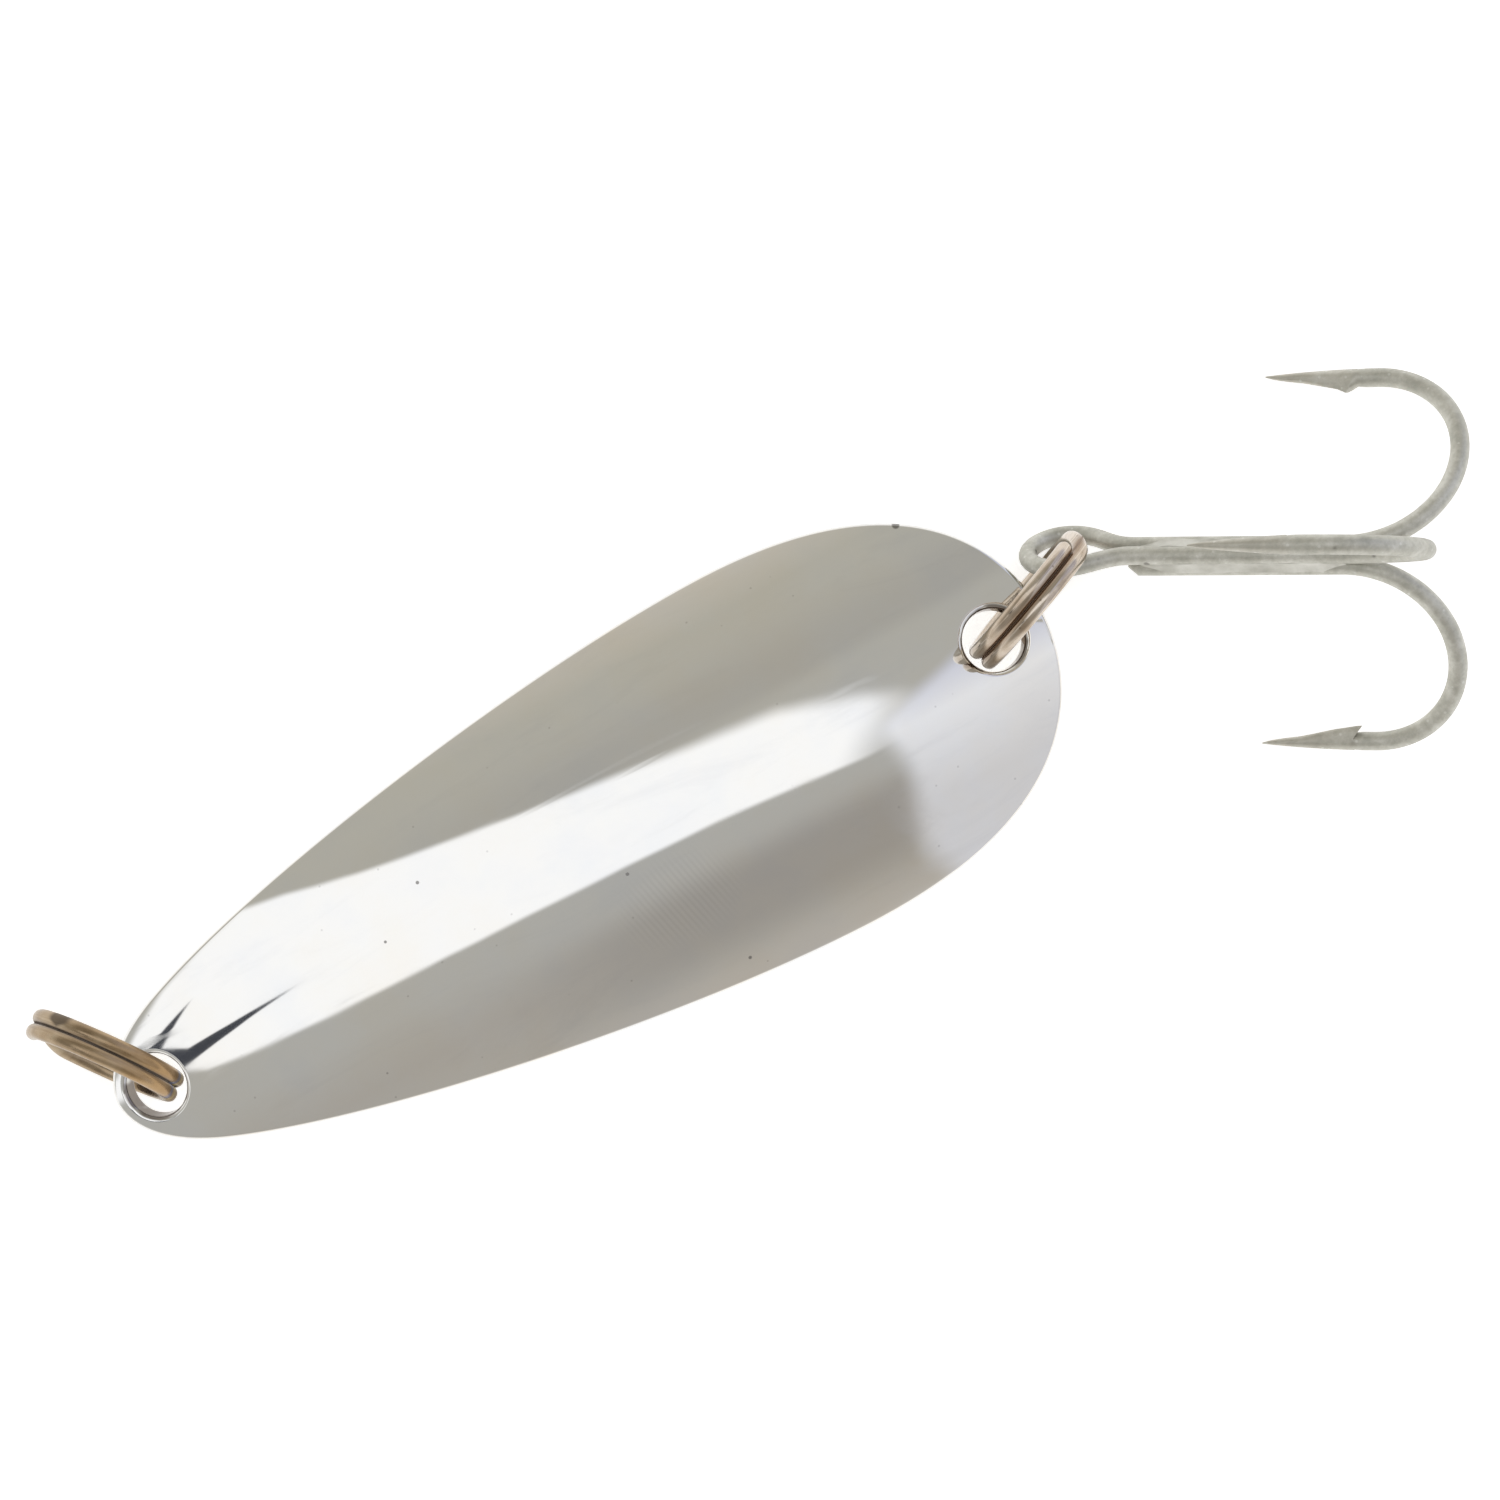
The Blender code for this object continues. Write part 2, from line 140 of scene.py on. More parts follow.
class TrebleSettings(bpy.types.PropertyGroup):
    """The treble hook: x runs from the eye down the shank."""

    wire: bpy.props.FloatProperty(
        name="Wire", description="Diameter of the hook wire", default=1.03 * MM, unit="LENGTH"
    )
    wire_gap: bpy.props.FloatProperty(
        name="Wire gap", description="Between packed wires", default=0.05 * MM, unit="LENGTH"
    )
    length: bpy.props.FloatProperty(
        name="Length", description="Eye to bend", default=23.9 * MM, unit="LENGTH"
    )
    gape: bpy.props.FloatProperty(
        name="Gape", description="Treble axis to the point's wire", default=11.4 * MM, unit="LENGTH"
    )
    point_length: bpy.props.FloatProperty(
        name="Point length", description="Point tip to bend", default=11.2 * MM, unit="LENGTH"
    )
    eye_width: bpy.props.FloatProperty(
        name="Eye width", description="Between wire centres", default=4.0 * MM, unit="LENGTH"
    )
    heading: bpy.props.FloatProperty(
        name="Heading", description="Direction of the shank", default=math.radians(-28.5), subtype="ANGLE"
    )
    tilt: bpy.props.FloatProperty(
        name="Tilt", description="How far the bend is raised", default=math.radians(19.7), subtype="ANGLE"
    )
    colour: bpy.props.FloatVectorProperty(
        name="Colour", description="Dull tin", default=(0.53, 0.52, 0.46), subtype="COLOR"
    )
    braze_colour: bpy.props.FloatVectorProperty(
        name="Braze colour", description="Tinned braze", default=(0.57, 0.56, 0.505), subtype="COLOR"
    )


class StudioSettings(bpy.types.PropertyGroup):
    """Floor, light and camera."""

    camera_height: bpy.props.FloatProperty(
        name="Camera height", description="Above the floor", default=240.0 * MM, unit="LENGTH"
    )
    camera_centre: bpy.props.FloatVectorProperty(
        name="Camera centre", description="Point on the blade below the lens, from the nose",
        default=(39.4 * MM, 0.93 * MM), size=2, unit="LENGTH",
    )
    camera_turn: bpy.props.FloatProperty(
        name="Camera turn", description="Roll about the vertical", default=math.radians(-28), subtype="ANGLE"
    )
    field_of_view: bpy.props.FloatProperty(
        name="Field of view", description="Across the frame", default=math.radians(19.44), subtype="ANGLE"
    )
    floor_colour: bpy.props.FloatVectorProperty(
        name="Floor colour", description="Pale table", default=(0.93, 0.93, 0.92), subtype="COLOR"
    )


def settings():
    return bpy.context.scene.spoon_lure


# ---------------------------------------------------------------- shader maths


class Wire:
    """A shader socket that takes part in Python arithmetic: each operation adds its Math node."""

    def __init__(self, paint, socket):
        self.paint, self.socket = paint, socket

    def __add__(self, other):
        return self.paint.math("ADD", self, other)

    def __sub__(self, other):
        return self.paint.math("SUBTRACT", self, other)

    def __rsub__(self, other):
        return self.paint.math("SUBTRACT", other, self)

    def __mul__(self, other):
        return self.paint.math("MULTIPLY", self, other)

    def __truediv__(self, other):
        return self.paint.math("DIVIDE", self, other)

    def __rtruediv__(self, other):
        return self.paint.math("DIVIDE", other, self)

    def __pow__(self, other):
        return self.paint.math("POWER", self, other)

    def __rpow__(self, other):
        return self.paint.math("POWER", other, self)

    __radd__ = __add__
    __rmul__ = __mul__


class Paint:
    """Node building for one material or world."""

    def __init__(self, owner):
        owner.use_nodes = True
        self.tree = owner.node_tree
        self.tree.nodes.clear()

    def node(self, kind, values=None, sockets=None, output=0):
        """Add a node: its settings first, ramp stops among them, then the values or links of its sockets."""
        made = self.tree.nodes.new(kind)
        for name, value in (values or {}).items():
            if name == "stops":
                self.set_stops(made, value)
            else:
                setattr(made, name, value)
        for key, value in (sockets or {}).items():
            self.put(made.inputs[key], value)
        return Wire(self, made.outputs[output]) if made.outputs else made

    def set_stops(self, ramp, stops):
        elements = ramp.color_ramp.elements
        while len(elements) > 1:
            elements.remove(elements[-1])
        for i, (position, colour) in enumerate(stops):
            element = elements[0] if i == 0 else elements.new(position)
            element.position = position
            element.color = (*colour, 1) if hasattr(colour, "__len__") else (colour, colour, colour, 1)

    def put(self, socket, value):
        if isinstance(value, Wire):
            self.tree.links.new(value.socket, socket)
        elif hasattr(value, "__len__") and len(value) == 3 and len(socket.default_value) == 4:
            socket.default_value = (*value, 1)
        else:
            socket.default_value = value

    def math(self, operation, first, second=0.0):
        return self.node("ShaderNodeMath", {"operation": operation}, {0: first, 1: second})

    def ramp(self, value, stops):
        return self.node("ShaderNodeValToRGB", {"stops": stops}, {"Fac": value})

    def profile(self, value, points):
        """A curve of straight runs through (position, height) points, both between -1 and 1."""
        return self.ramp((value + 1) * 0.5, [((x + 1) / 2, (y + 1) / 2) for x, y in points]) * 2 - 1

    def stroke(self, x, y, start, end, half_width):
        """1 inside a tapering stroke from start, where it is widest, to nothing at end."""
        softness, lead_in = 0.003, 0.08
        run, rise = end[0] - start[0], end[1] - start[1]
        length = math.hypot(run, rise)
        along = ((x - start[0]) * run + (y - start[1]) * rise) / length**2
        off = ((x - start[0]) * rise - (y - start[1]) * run) / length
        distance = self.math("ABSOLUTE", off)
        inside = self.step((1 - along) * half_width - distance, -softness, softness)
        return inside * self.step(along, -lead_in, 0.0)

    def step(self, value, low, high):
        """0 below low, 1 above high, smooth between."""
        sockets = {"Value": value, "From Min": low, "From Max": high}
        return self.node("ShaderNodeMapRange", {"interpolation_type": "SMOOTHSTEP"}, sockets)

    def mix(self, share, first, second, blend="MIX"):
        values = {"data_type": "RGBA", "blend_type": blend}
        return self.node("ShaderNodeMix", values, {0: share, 6: first, 7: second}, 2)

    def noise(self, where, scale, detail=2.0, roughness=0.5, distortion=0.0):
        sockets = {"Vector": where, "Scale": scale, "Detail": detail}
        sockets.update({"Roughness": roughness, "Distortion": distortion})
        return self.node("ShaderNodeTexNoise", {}, sockets)

    def cells(self, where, scale):
        """The distance to the nearest of scattered points."""
        return self.node("ShaderNodeTexVoronoi", {}, {"Vector": where, "Scale": scale})

    def place(self, where, scale=(1, 1, 1), turn=(0, 0, 0)):
        return self.node("ShaderNodeMapping", {}, {"Vector": where, "Scale": scale, "Rotation": turn})

    def bump(self, height, distance):
        return self.node("ShaderNodeBump", {}, {"Height": height, "Distance": distance})

    def attribute(self, name):
        return self.node("ShaderNodeAttribute", {"attribute_name": name}, output=2)


def metal(name, slot_colour, build):
    """A Principled metal whose varying inputs come from build(paint, coordinates, colour)."""
    material = bpy.data.materials.new(name)
    paint = Paint(material)
    where = paint.node("ShaderNodeTexCoord", output=3)
    shader = paint.node("ShaderNodeBsdfPrincipled").socket.node
    paint.node("ShaderNodeOutputMaterial", {}, {"Surface": Wire(paint, shader.outputs[0])})
    shader.inputs["Metallic"].default_value = 1.0
    for socket, value in build(paint, where, tuple(slot_colour)).items():
        paint.put(shader.inputs[socket], value)
    return material


# ---------------------------------------------------------------- finishes


# Small dents in the blade: x, y and radius in millimetres
KNOCKS = ((12.4, 10.5, 0.26), (-19.4, 5.5, 0.12), (-22.4, 3.5, 0.10))

# Stains on the line ring: colour, place round the ring in turns, and reach
STAINS = (((0.16, 0.20, 0.34), 0.452, 0.016), ((0.60, 0.50, 0.22), 0.474, 0.013))

# Millimetres along the line ring's wire to its dark spot
SPOT_AT = 28.7


def polished_nickel(paint, where, colour):
    """Mirror polish with a faint ripple, hairlines, cloudy patches, a few pits, chatter left by the press,
    and nicks along the lower edge, with a painted dark reflection on the walls of the holes."""
    parts = paint.node("ShaderNodeSeparateXYZ", {}, {0: where}).socket.node
    x, y = Wire(paint, parts.outputs[0]) / MM, Wire(paint, parts.outputs[1]) / MM
    clouds = paint.noise(where, 110, 5, 0.6)
    smears = paint.noise(paint.place(where, (0.35, 1.6, 1), (0, 0, -0.1)), 240, 5, 0.65, 0.8)
    rim, hole = paint.attribute("rim"), paint.attribute("hole")
    knocks = 0.0
    for across, along, reach in KNOCKS:
        away = paint.math("SQRT", (x - across) ** 2.0 + (y - along) ** 2.0)
        knocks = (1 - paint.step(away, reach * 0.6, reach)) + knocks
    pits = 1 - paint.step(paint.cells(where, 250), 0.018, 0.034)
    specks = 1 - paint.step(paint.cells(where, 700), 0.03, 0.06)
    hairlines = 0.0
    for turn, scale in ((0.35, 900), (1.2, 760), (-0.6, 820)):
        streaks = paint.noise(paint.place(where, (0.035, 1, 1), (0, 0, turn)), scale, 2, 0.5)
        hairlines = paint.step(streaks, 0.68, 0.76) + hairlines
    from_middle = paint.math("SQRT", (x + 7.4) ** 2.0 + (y + 1.9) ** 2.0 * 2.2)
    chatter = (1 - paint.step(from_middle, 1.5, 4.2)) * paint.math("SINE", x * 21 + y * 5 + clouds * 5)
    edge = 1 - paint.step(y + 0.24 * x, -13.6, -11.4)
    nicks = paint.step(paint.noise(paint.place(where, (1, 0.12, 1), (0, 0, 0.45)), 900, 3, 0.6), 0.54, 0.66)
    nicks = nicks * edge * paint.step(x, -34, -28) * (1 - paint.step(x, -14, -4))
    tint = paint.ramp(clouds, ((0.32, (0.95, 0.965, 1.0)), (0.5, (1, 1, 1)), (0.68, (1.0, 0.98, 0.945))))
    base = paint.mix(1.0, colour, tint, "MULTIPLY")
    base = paint.mix(paint.step(smears, 0.50, 0.74) * 0.16, base, (0.60, 0.60, 0.62))
    base = paint.mix(nicks * 0.5, base, (0.50, 0.51, 0.53))
    base = paint.mix(chatter * 0.09 + 0.05, base, (0.48, 0.47, 0.46))
    base = paint.mix(rim * 0.12, base, (0.55, 0.48, 0.38))
    # Painted reflection: the walls of the punched holes are darkened in the colour, standing in for the dark
    # surroundings they mirror
    painted_hole_reflection = paint.step(paint.noise(where, 700, 2, 0.5) + hole * 0.25, 0.50, 0.72)
    painted_hole_reflection = painted_hole_reflection * paint.step(hole, 0.2, 0.7)
    base = paint.mix(painted_hole_reflection * 0.85, base, (0.13, 0.10, 0.08))
    base = paint.mix(specks * 0.3, base, (0.35, 0.34, 0.33))
    base = paint.mix(paint.math("MINIMUM", pits + knocks, 1.0) * 0.8, base, (0.16, 0.15, 0.14))
    rough = 0.035 + paint.step(smears, 0.42, 0.8) * 0.06 + hairlines * 0.07 + pits * 0.3 + nicks * 0.12
    ripple = paint.noise(where, 120, 2.0, 0.5)
    wave = paint.bump(ripple, 0.000014)
    detail = hairlines * -0.35 + chatter * 0.22 - nicks * 0.6
    fine = paint.node("ShaderNodeBump", {}, {"Height": detail, "Distance": 0.0000016, "Normal": wave})
    return {"Base Color": base, "Roughness": rough, "Normal": fine}


def tarnished_wire(paint, where, colour):
    """Brown tarnish, golden on the side by the blade, with streaks along the wire, a dark spot near the top,
    a small blue and straw stain where the wire goes down through its hole, and painted shade in the groove."""
    along, groove, turn = (paint.attribute(name) for name in ("along", "groove", "turn"))
    lengthwise = paint.node("ShaderNodeCombineXYZ", {}, {0: along * 0.1, 1: groove * 0.7, 2: turn * 0.5})
    streaks = paint.noise(lengthwise, 9, 5, 0.6)
    patches = paint.noise(where, 520, 4, 0.6)
    base = paint.ramp(
        streaks * 0.5 + patches * 0.5,
        ((0.28, (0.19, 0.135, 0.085)), (0.5, colour), (0.72, (0.52, 0.43, 0.31))),
    )
    golden = paint.step(turn, 0.16, 0.40)
    base = paint.mix(golden * 0.55, base, (0.42, 0.25, 0.10))
    # Painted shade: the wire darkens towards the groove between its turns and goes near black deep in it,
    # where shade falls
    base = paint.mix(paint.step(groove, 0.35, 1.0) * 0.6, base, (0.11, 0.07, 0.04))
    painted_groove_shade = paint.step(groove, 0.74, 0.92)
    base = paint.mix(painted_groove_shade, base, (0.07, 0.045, 0.025))
    for stain, middle, reach in STAINS:
        from_middle = paint.math("ABSOLUTE", turn - middle + (patches - 0.5) * 0.04)
        base = paint.mix((1 - paint.step(from_middle, 0.0, reach)) * 0.7, base, stain)
    spot = 1 - paint.step(paint.math("ABSOLUTE", along - SPOT_AT) + groove * 0.9, 0.4, 0.85)
    base = paint.mix(spot * 0.7, base, (0.07, 0.055, 0.045))
    # Deep in the painted groove shade the wire is made rough and not metallic, which keeps reflections out of
    # it
    rough = 0.22 + paint.step(patches, 0.35, 0.75) * 0.2 + spot * 0.2 + painted_groove_shade * 0.6
    relief = paint.bump(streaks * 0.5 + patches * 0.5, 0.000012)
    return {"Base Color": base, "Roughness": rough, "Normal": relief, "Metallic": 1 - painted_groove_shade}


def bright_wire(paint, where, colour):
    """Nickel wire, slightly browned, with painted brown shade in the groove between its turns, and drawing
    marks along it.
    """
    along, groove, turn = (paint.attribute(name) for name in ("along", "groove", "turn"))
    lengthwise = paint.node("ShaderNodeCombineXYZ", {}, {0: along * 0.05, 1: groove, 2: turn * 0.5})
    streaks = paint.noise(lengthwise, 8, 4, 0.55)
    patches = paint.noise(where, 400, 4, 0.55)
    base = paint.ramp(
        patches * 0.5 + streaks * 0.5,
        ((0.36, (0.41, 0.32, 0.235)), (0.5, colour), (0.64, (0.72, 0.65, 0.57))),
    )
    # Painted shade: brown towards the groove between the turns and darker deep in it, where shade falls;
    # there the wire is also rough and not metallic, which keeps reflections out
    painted_groove_shade = paint.step(groove, 0.80, 0.96)
    base = paint.mix(paint.step(groove, 0.1, 0.9) * 0.85, base, (0.24, 0.155, 0.095))
    specks = 1 - paint.step(paint.cells(where, 1100), 0.05, 0.11)
    base = paint.mix(specks * 0.5, base, (0.16, 0.11, 0.07))
    rough = 0.14 + paint.step(patches, 0.4, 0.8) * 0.14 + painted_groove_shade * 0.5
    relief = paint.bump(streaks * 0.6 + patches * 0.4, 0.000006)
    return {"Base Color": base, "Roughness": rough, "Normal": relief, "Metallic": 1 - painted_groove_shade}


def dull_tin(paint, where, colour):
    """Grainy tin over steel: mottled grey with pale flecks, and brighter metal at the ground points."""
    grain = paint.noise(where, 2600, 4, 0.7)
    mottle = paint.noise(where, 480, 5, 0.65)
    drift = paint.noise(where, 90, 2, 0.5)
    point = paint.attribute("point")
    base = paint.ramp(
        mottle * 0.55 + grain * 0.3 + drift * 0.15,
        ((0.36, (0.38, 0.375, 0.325)), (0.5, colour), (0.64, (0.70, 0.69, 0.635))),
    )
    base = paint.mix(point * 0.45, base, (0.47, 0.43, 0.36))
    flecks = paint.step(paint.cells(where, 1500), 0.08, 0.16)
    base = paint.mix((1 - flecks) * 0.4, base, (0.80, 0.80, 0.76))
    pits = paint.step(paint.cells(paint.place(where, (1, 1, 1), (0.4, 0.2, 1.1)), 420), 0.05, 0.09)
    base = paint.mix((1 - pits) * 0.6, base, (0.10, 0.09, 0.08))
    rough = 0.42 + mottle * 0.16 - point * 0.1
    relief = paint.bump(grain * 0.5 + mottle * 0.5 + pits * 0.3, 0.000035)
    return {"Base Color": base, "Roughness": rough, "Normal": relief, "Metallic": 0.75}


def braze_metal(paint, where, colour):
    """Braze under the tin: paler, lumpier and a little smoother than the wires."""
    lumps = paint.noise(where, 900, 4, 0.6)
    clouds = paint.noise(where, 260, 3, 0.5)
    base = paint.ramp(
        lumps * 0.5 + clouds * 0.5,
        ((0.35, (0.42, 0.41, 0.36)), (0.5, colour), (0.66, (0.72, 0.71, 0.66))),
    )
    rough = 0.36 + clouds * 0.2
    return {"Base Color": base, "Roughness": rough, "Normal": paint.bump(lumps, 0.00004), "Metallic": 0.75}


# ---------------------------------------------------------------- mesh helpers


def finished_object(name, mesh, material, body, node):
    """Link a mesh that stands for a CAD node, give it its finish, and let it ride on its body."""
    obj = bpy.data.objects.new(name, mesh)
    bpy.context.scene.collection.objects.link(obj)
    mesh.materials.append(material)
    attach(obj, body)
    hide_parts(node)
    return obj


def frame_of(origin, x_axis, z_axis):
    """A matrix whose columns are the given axes and the one that completes them."""
    x, z = Vector(x_axis).normalized(), Vector(z_axis).normalized()
    rotation = Matrix((x, z.cross(x), z)).transposed()
    return Matrix.Translation(origin) @ rotation.to_4x4()


class Station:
    """One place along a wire: its centre, its radius, and how far a barb's keel stands out of it."""

    def __init__(self, centre, radius, keel=0.0, keel_side=None, keel_back=0.0, point=0.0):
        self.centre, self.radius, self.point = Vector(centre), radius, point
        self.keel, self.keel_side, self.keel_back = keel, keel_side, keel_back


def wire_tangents(stations):
    centres = [station.centre for station in stations]
    ahead = centres[1:] + [centres[-1] * 2 - centres[-2]]
    behind = [centres[0] * 2 - centres[1]] + centres[:-1]
    return [(a - b).normalized() for a, b in zip(ahead, behind)]


def swept_wire(name, stations, sides=20, end_rounding=0.25, up=None, squareness=2.0):
    """A closed wire through the stations, with slightly rounded ends, that stores how far along its wire
    each point lies, and how much of it is ground to a point. A squareness over 2 flattens its sides."""
    narrowing = 0.55
    keel_sharpness = 5
    tangents = wire_tangents(stations)
    normal = up or tangents[0].orthogonal().normalized()
    mesh_points, faces, along, point = [], [], [], []
    travelled = 0.0
    loops = []
    for i, (station, tangent) in enumerate(zip(stations, tangents)):
        if i:
            travelled += (station.centre - stations[i - 1].centre).length
        normal = (normal - tangent * normal.dot(tangent)).normalized()
        binormal = tangent.cross(normal)
        loops.append((station, tangent, normal.copy(), binormal, travelled))
    first, last = loops[0], loops[-1]
    rounded = []
    for loop, sign in ((first, -1), (last, 1)):
        station, tangent, side, binormal, distance = loop
        reach = station.radius * end_rounding
        end_radius = station.radius * (1 - end_rounding * narrowing)
        cap = Station(station.centre + tangent * sign * reach, end_radius)
        cap.point = station.point
        rounded.append((cap, tangent, side, binormal, distance))
    loops = [rounded[0]] + loops + [rounded[1]]
    for station, tangent, side, binormal, distance in loops:
        for j in range(sides):
            angle = 2 * math.pi * j / sides
            outward = side * math.cos(angle) + binormal * math.sin(angle)
            powers = abs(math.cos(angle)) ** squareness + abs(math.sin(angle)) ** squareness
            bulk = powers ** (-1 / squareness)
            place = station.centre + outward * station.radius * bulk
            if station.keel_side is not None and station.keel > 0:
                share = max(outward.dot(station.keel_side), 0) ** keel_sharpness
                place += station.keel_side * station.keel * share + tangent * station.keel_back * share
            mesh_points.append(place)
            along.append(distance / MM)
            point.append(station.point)
    for i in range(len(loops) - 1):
        for j in range(sides):
            k = (j + 1) % sides
            faces.append((i * sides + j, i * sides + k, (i + 1) * sides + k, (i + 1) * sides + j))
    faces.append(tuple(reversed(range(sides))))
    faces.append(tuple(range((len(loops) - 1) * sides, len(loops) * sides)))
    mesh = bpy.data.meshes.new(name)
    mesh.from_pydata(mesh_points, [], faces)
    for label, data in (("along", along), ("point", point)):
        mesh.attributes.new(label, "FLOAT", "POINT").data.foreach_set("value", data)
    mesh.shade_smooth()
    mesh.set_sharp_from_angle(angle=math.radians(48))
    return mesh


# ---------------------------------------------------------------- blade


# The blade's outline: its shoulder and the slope there, and the lengths of the curves' handles in millimetres
SHOULDER = (4.6 * MM, 4.4 * MM)
SHOULDER_SLOPE = 0.37
NOSE_HANDLE, SHOULDER_HANDLES, WIDEST_HANDLES, TAIL_HANDLE = 0.5, (4.7, 8.9), (10.1, 14.8), 1.7


class BladeShape:
    """The blade's outer face as a height over its plan, in the place that the frame gives it."""

    def __init__(self, sizes):
        self.sizes = sizes
        low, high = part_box("blade")
        self.origin = Vector((low.x, (low.y + high.y) / 2, 0))
        crest = max(self.height(sizes.length * i / 400, 0) for i in range(401))
        self.origin.z = high.z - crest
        self.stations = self.outline()

    def height(self, x, y):
        s = self.sizes
        arch = (x - s.ridge_at) ** 2 / (2 * s.arch_radius)
        nose = s.nose_drop * math.exp(-x / s.nose_drop_length)
        crown = s.crown_radius - math.sqrt(s.crown_radius**2 - y * y)
        return -arch - nose - crown

    def normal(self, x, y):
        s = self.sizes
        nose = s.nose_drop / s.nose_drop_length * math.exp(-x / s.nose_drop_length)
        along = -(x - s.ridge_at) / s.arch_radius + nose
        across = -y / math.sqrt(s.crown_radius**2 - y * y)
        return Vector((-along, -across, 1)).normalized()

    def place(self, x, y, depth=0.0):
        return self.origin + Vector((x, y, self.height(x, y))) - self.normal(x, y) * depth

    def outline(self, points_per_span=48):
        """Half the outline, from nose tip to tail end, along three Bezier spans."""
        s = self.sizes
        shoulder = Vector((*SHOULDER, 0))
        rise = Vector((math.cos(SHOULDER_SLOPE), math.sin(SHOULDER_SLOPE), 0))
        widest = Vector((s.widest_at, s.half_width, 0))
        tail = Vector((s.length, 0, 0))
        along, out = Vector((MM, 0, 0)), Vector((0, MM, 0))
        spans = (
            (Vector(), NOSE_HANDLE * out, shoulder - SHOULDER_HANDLES[0] * MM * rise, shoulder),
            (
                shoulder, shoulder + SHOULDER_HANDLES[1] * MM * rise,
                widest - WIDEST_HANDLES[0] * along, widest,
            ),
            (widest, widest + WIDEST_HANDLES[1] * along, tail + TAIL_HANDLE * out, tail),
        )
        points = []
        for start, handle_out, handle_in, end in spans:
            curve = interpolate_bezier(start, handle_out, handle_in, end, points_per_span)
            points += curve if not points else curve[1:]
        return points

    def rim_loop(self, spacing=0.4 * MM):
        """The whole outline at even spacing, counterclockwise from above, with its outward directions."""
        half = self.stations
        loop = [Vector((p.x, -p.y)) for p in half] + [Vector((p.x, p.y)) for p in reversed(half[1:-1])]
        lengths = [(b - a).length for a, b in zip(loop, loop[1:] + loop[:1])]
        total = sum(lengths)
        count = round(total / spacing)
        even, i, walked = [], 0, 0.0
        for k in range(count):
            target = total * k / count
            while walked + lengths[i] < target:
                walked += lengths[i]
                i += 1
            even.append(loop[i].lerp(loop[(i + 1) % len(loop)], (target - walked) / lengths[i]))
        outward = []
        for k, point in enumerate(even):
            tangent = even[(k + 1) % count] - even[k - 1]
            outward.append(Vector((tangent.y, -tangent.x)).normalized())
        return even, outward

    def hole_loop(self, at, count=72):
        """A punched hole's edge, clockwise seen from above, with its directions out of the metal."""
        slope = self.normal(at, 0).z
        loop, outward = [], []
        for k in range(count):
            angle = -2 * math.pi * k / count
            ray = Vector((math.cos(angle), math.sin(angle)))
            loop.append(Vector((at + self.sizes.hole_radius * slope * ray.x, self.sizes.hole_radius * ray.y)))
            outward.append(-ray)
        return loop, outward

    def rim_profile(self, outer_radius, inner_radius, steps=7):
        """(inset, depth, lean of the normal) from the outer face round the edge to the hollow face."""
        leans = [math.pi / 2 * i / steps for i in range(steps + 1)]
        outer, inner = (
            [(radius * (1 - math.sin(a)), radius * (1 - math.cos(a)), a) for a in leans]
            for radius in (outer_radius, inner_radius)
        )
        under = [(inset, self.sizes.thickness - depth, math.pi - a) for inset, depth, a in reversed(inner)]
        return outer + under


def blade_mesh(shape):
    """Both faces of the sheet over one triangulation of its plan, joined by rounded rims."""
    sizes = shape.sizes
    outline_profile = shape.rim_profile(sizes.rim_rounding, sizes.rim_rounding)
    hole_profile = shape.rim_profile(sizes.hole_rounding, sizes.rim_rounding)
    edges = [(*shape.rim_loop(), outline_profile)]
    edges += [(*shape.hole_loop(at), hole_profile) for at in (sizes.nose_hole_at, sizes.tail_hole_at)]
    plan, constraints = [], []
    for loop, outward, profile in edges:
        start = len(plan)
        plan += [point - out * profile[0][0] for point, out in zip(loop, outward)]
        constraints += [(start + k, start + (k + 1) % len(loop)) for k in range(len(loop))]
    boundary = len(plan)
    plan += plan_points(shape, plan[:boundary])
    flat, _, triangles, sources, _, _ = delaunay_2d_cdt(plan, constraints, [], 0, 1e-7)
    order = [source[0] for source in sources]
    triangles = [[order[i] for i in face] for face in triangles if on_metal(shape, [flat[i] for i in face])]

    points, normals, rims, holes, faces = [], [], [], [], []

    def add(x, y, depth, normal, rim=0.0, hole=0.0):
        points.append(shape.place(x, y, depth))
        normals.append(normal)
        rims.append(rim)
        holes.append(hole)
        return len(points) - 1

    loops = []
    for loop, outward, profile in edges:
        in_hole = profile is hole_profile
        rows = []
        for inset, depth, lean in profile:
            row = []
            for point, out in zip(loop, outward):
                x, y = point - out * inset
                up = shape.normal(x, y)
                side = Vector((out.x, out.y, 0))
                side = (side - up * side.dot(up)).normalized()
                normal = up * math.cos(lean) + side * math.sin(lean)
                row.append(add(x, y, depth, normal, math.sin(lean) * (not in_hole), math.sin(lean) * in_hole))
            rows.append(row)
        for upper, lower in zip(rows, rows[1:]):
            for k in range(len(loop)):
                faces.append((upper[k - 1], lower[k - 1], lower[k], upper[k]))
        loops.append(rows)
    top = [index for rows in loops for index in rows[0]]
    under = [index for rows in loops for index in rows[-1]]
    for x, y in plan[boundary:]:
        up = shape.normal(x, y)
        top.append(add(x, y, 0, up))
        under.append(add(x, y, sizes.thickness, -up))
    faces += [tuple(top[i] for i in face) for face in triangles]
    faces += [tuple(under[i] for i in reversed(face)) for face in triangles]
    mesh = bpy.data.meshes.new("blade_sheet")
    mesh.from_pydata(points, [], faces)
    for label, data in (("rim", rims), ("hole", holes)):
        mesh.attributes.new(label, "FLOAT", "POINT").data.foreach_set("value", data)
    mesh.shade_smooth()
    mesh.normals_split_custom_set_from_vertices(normals)
    return mesh


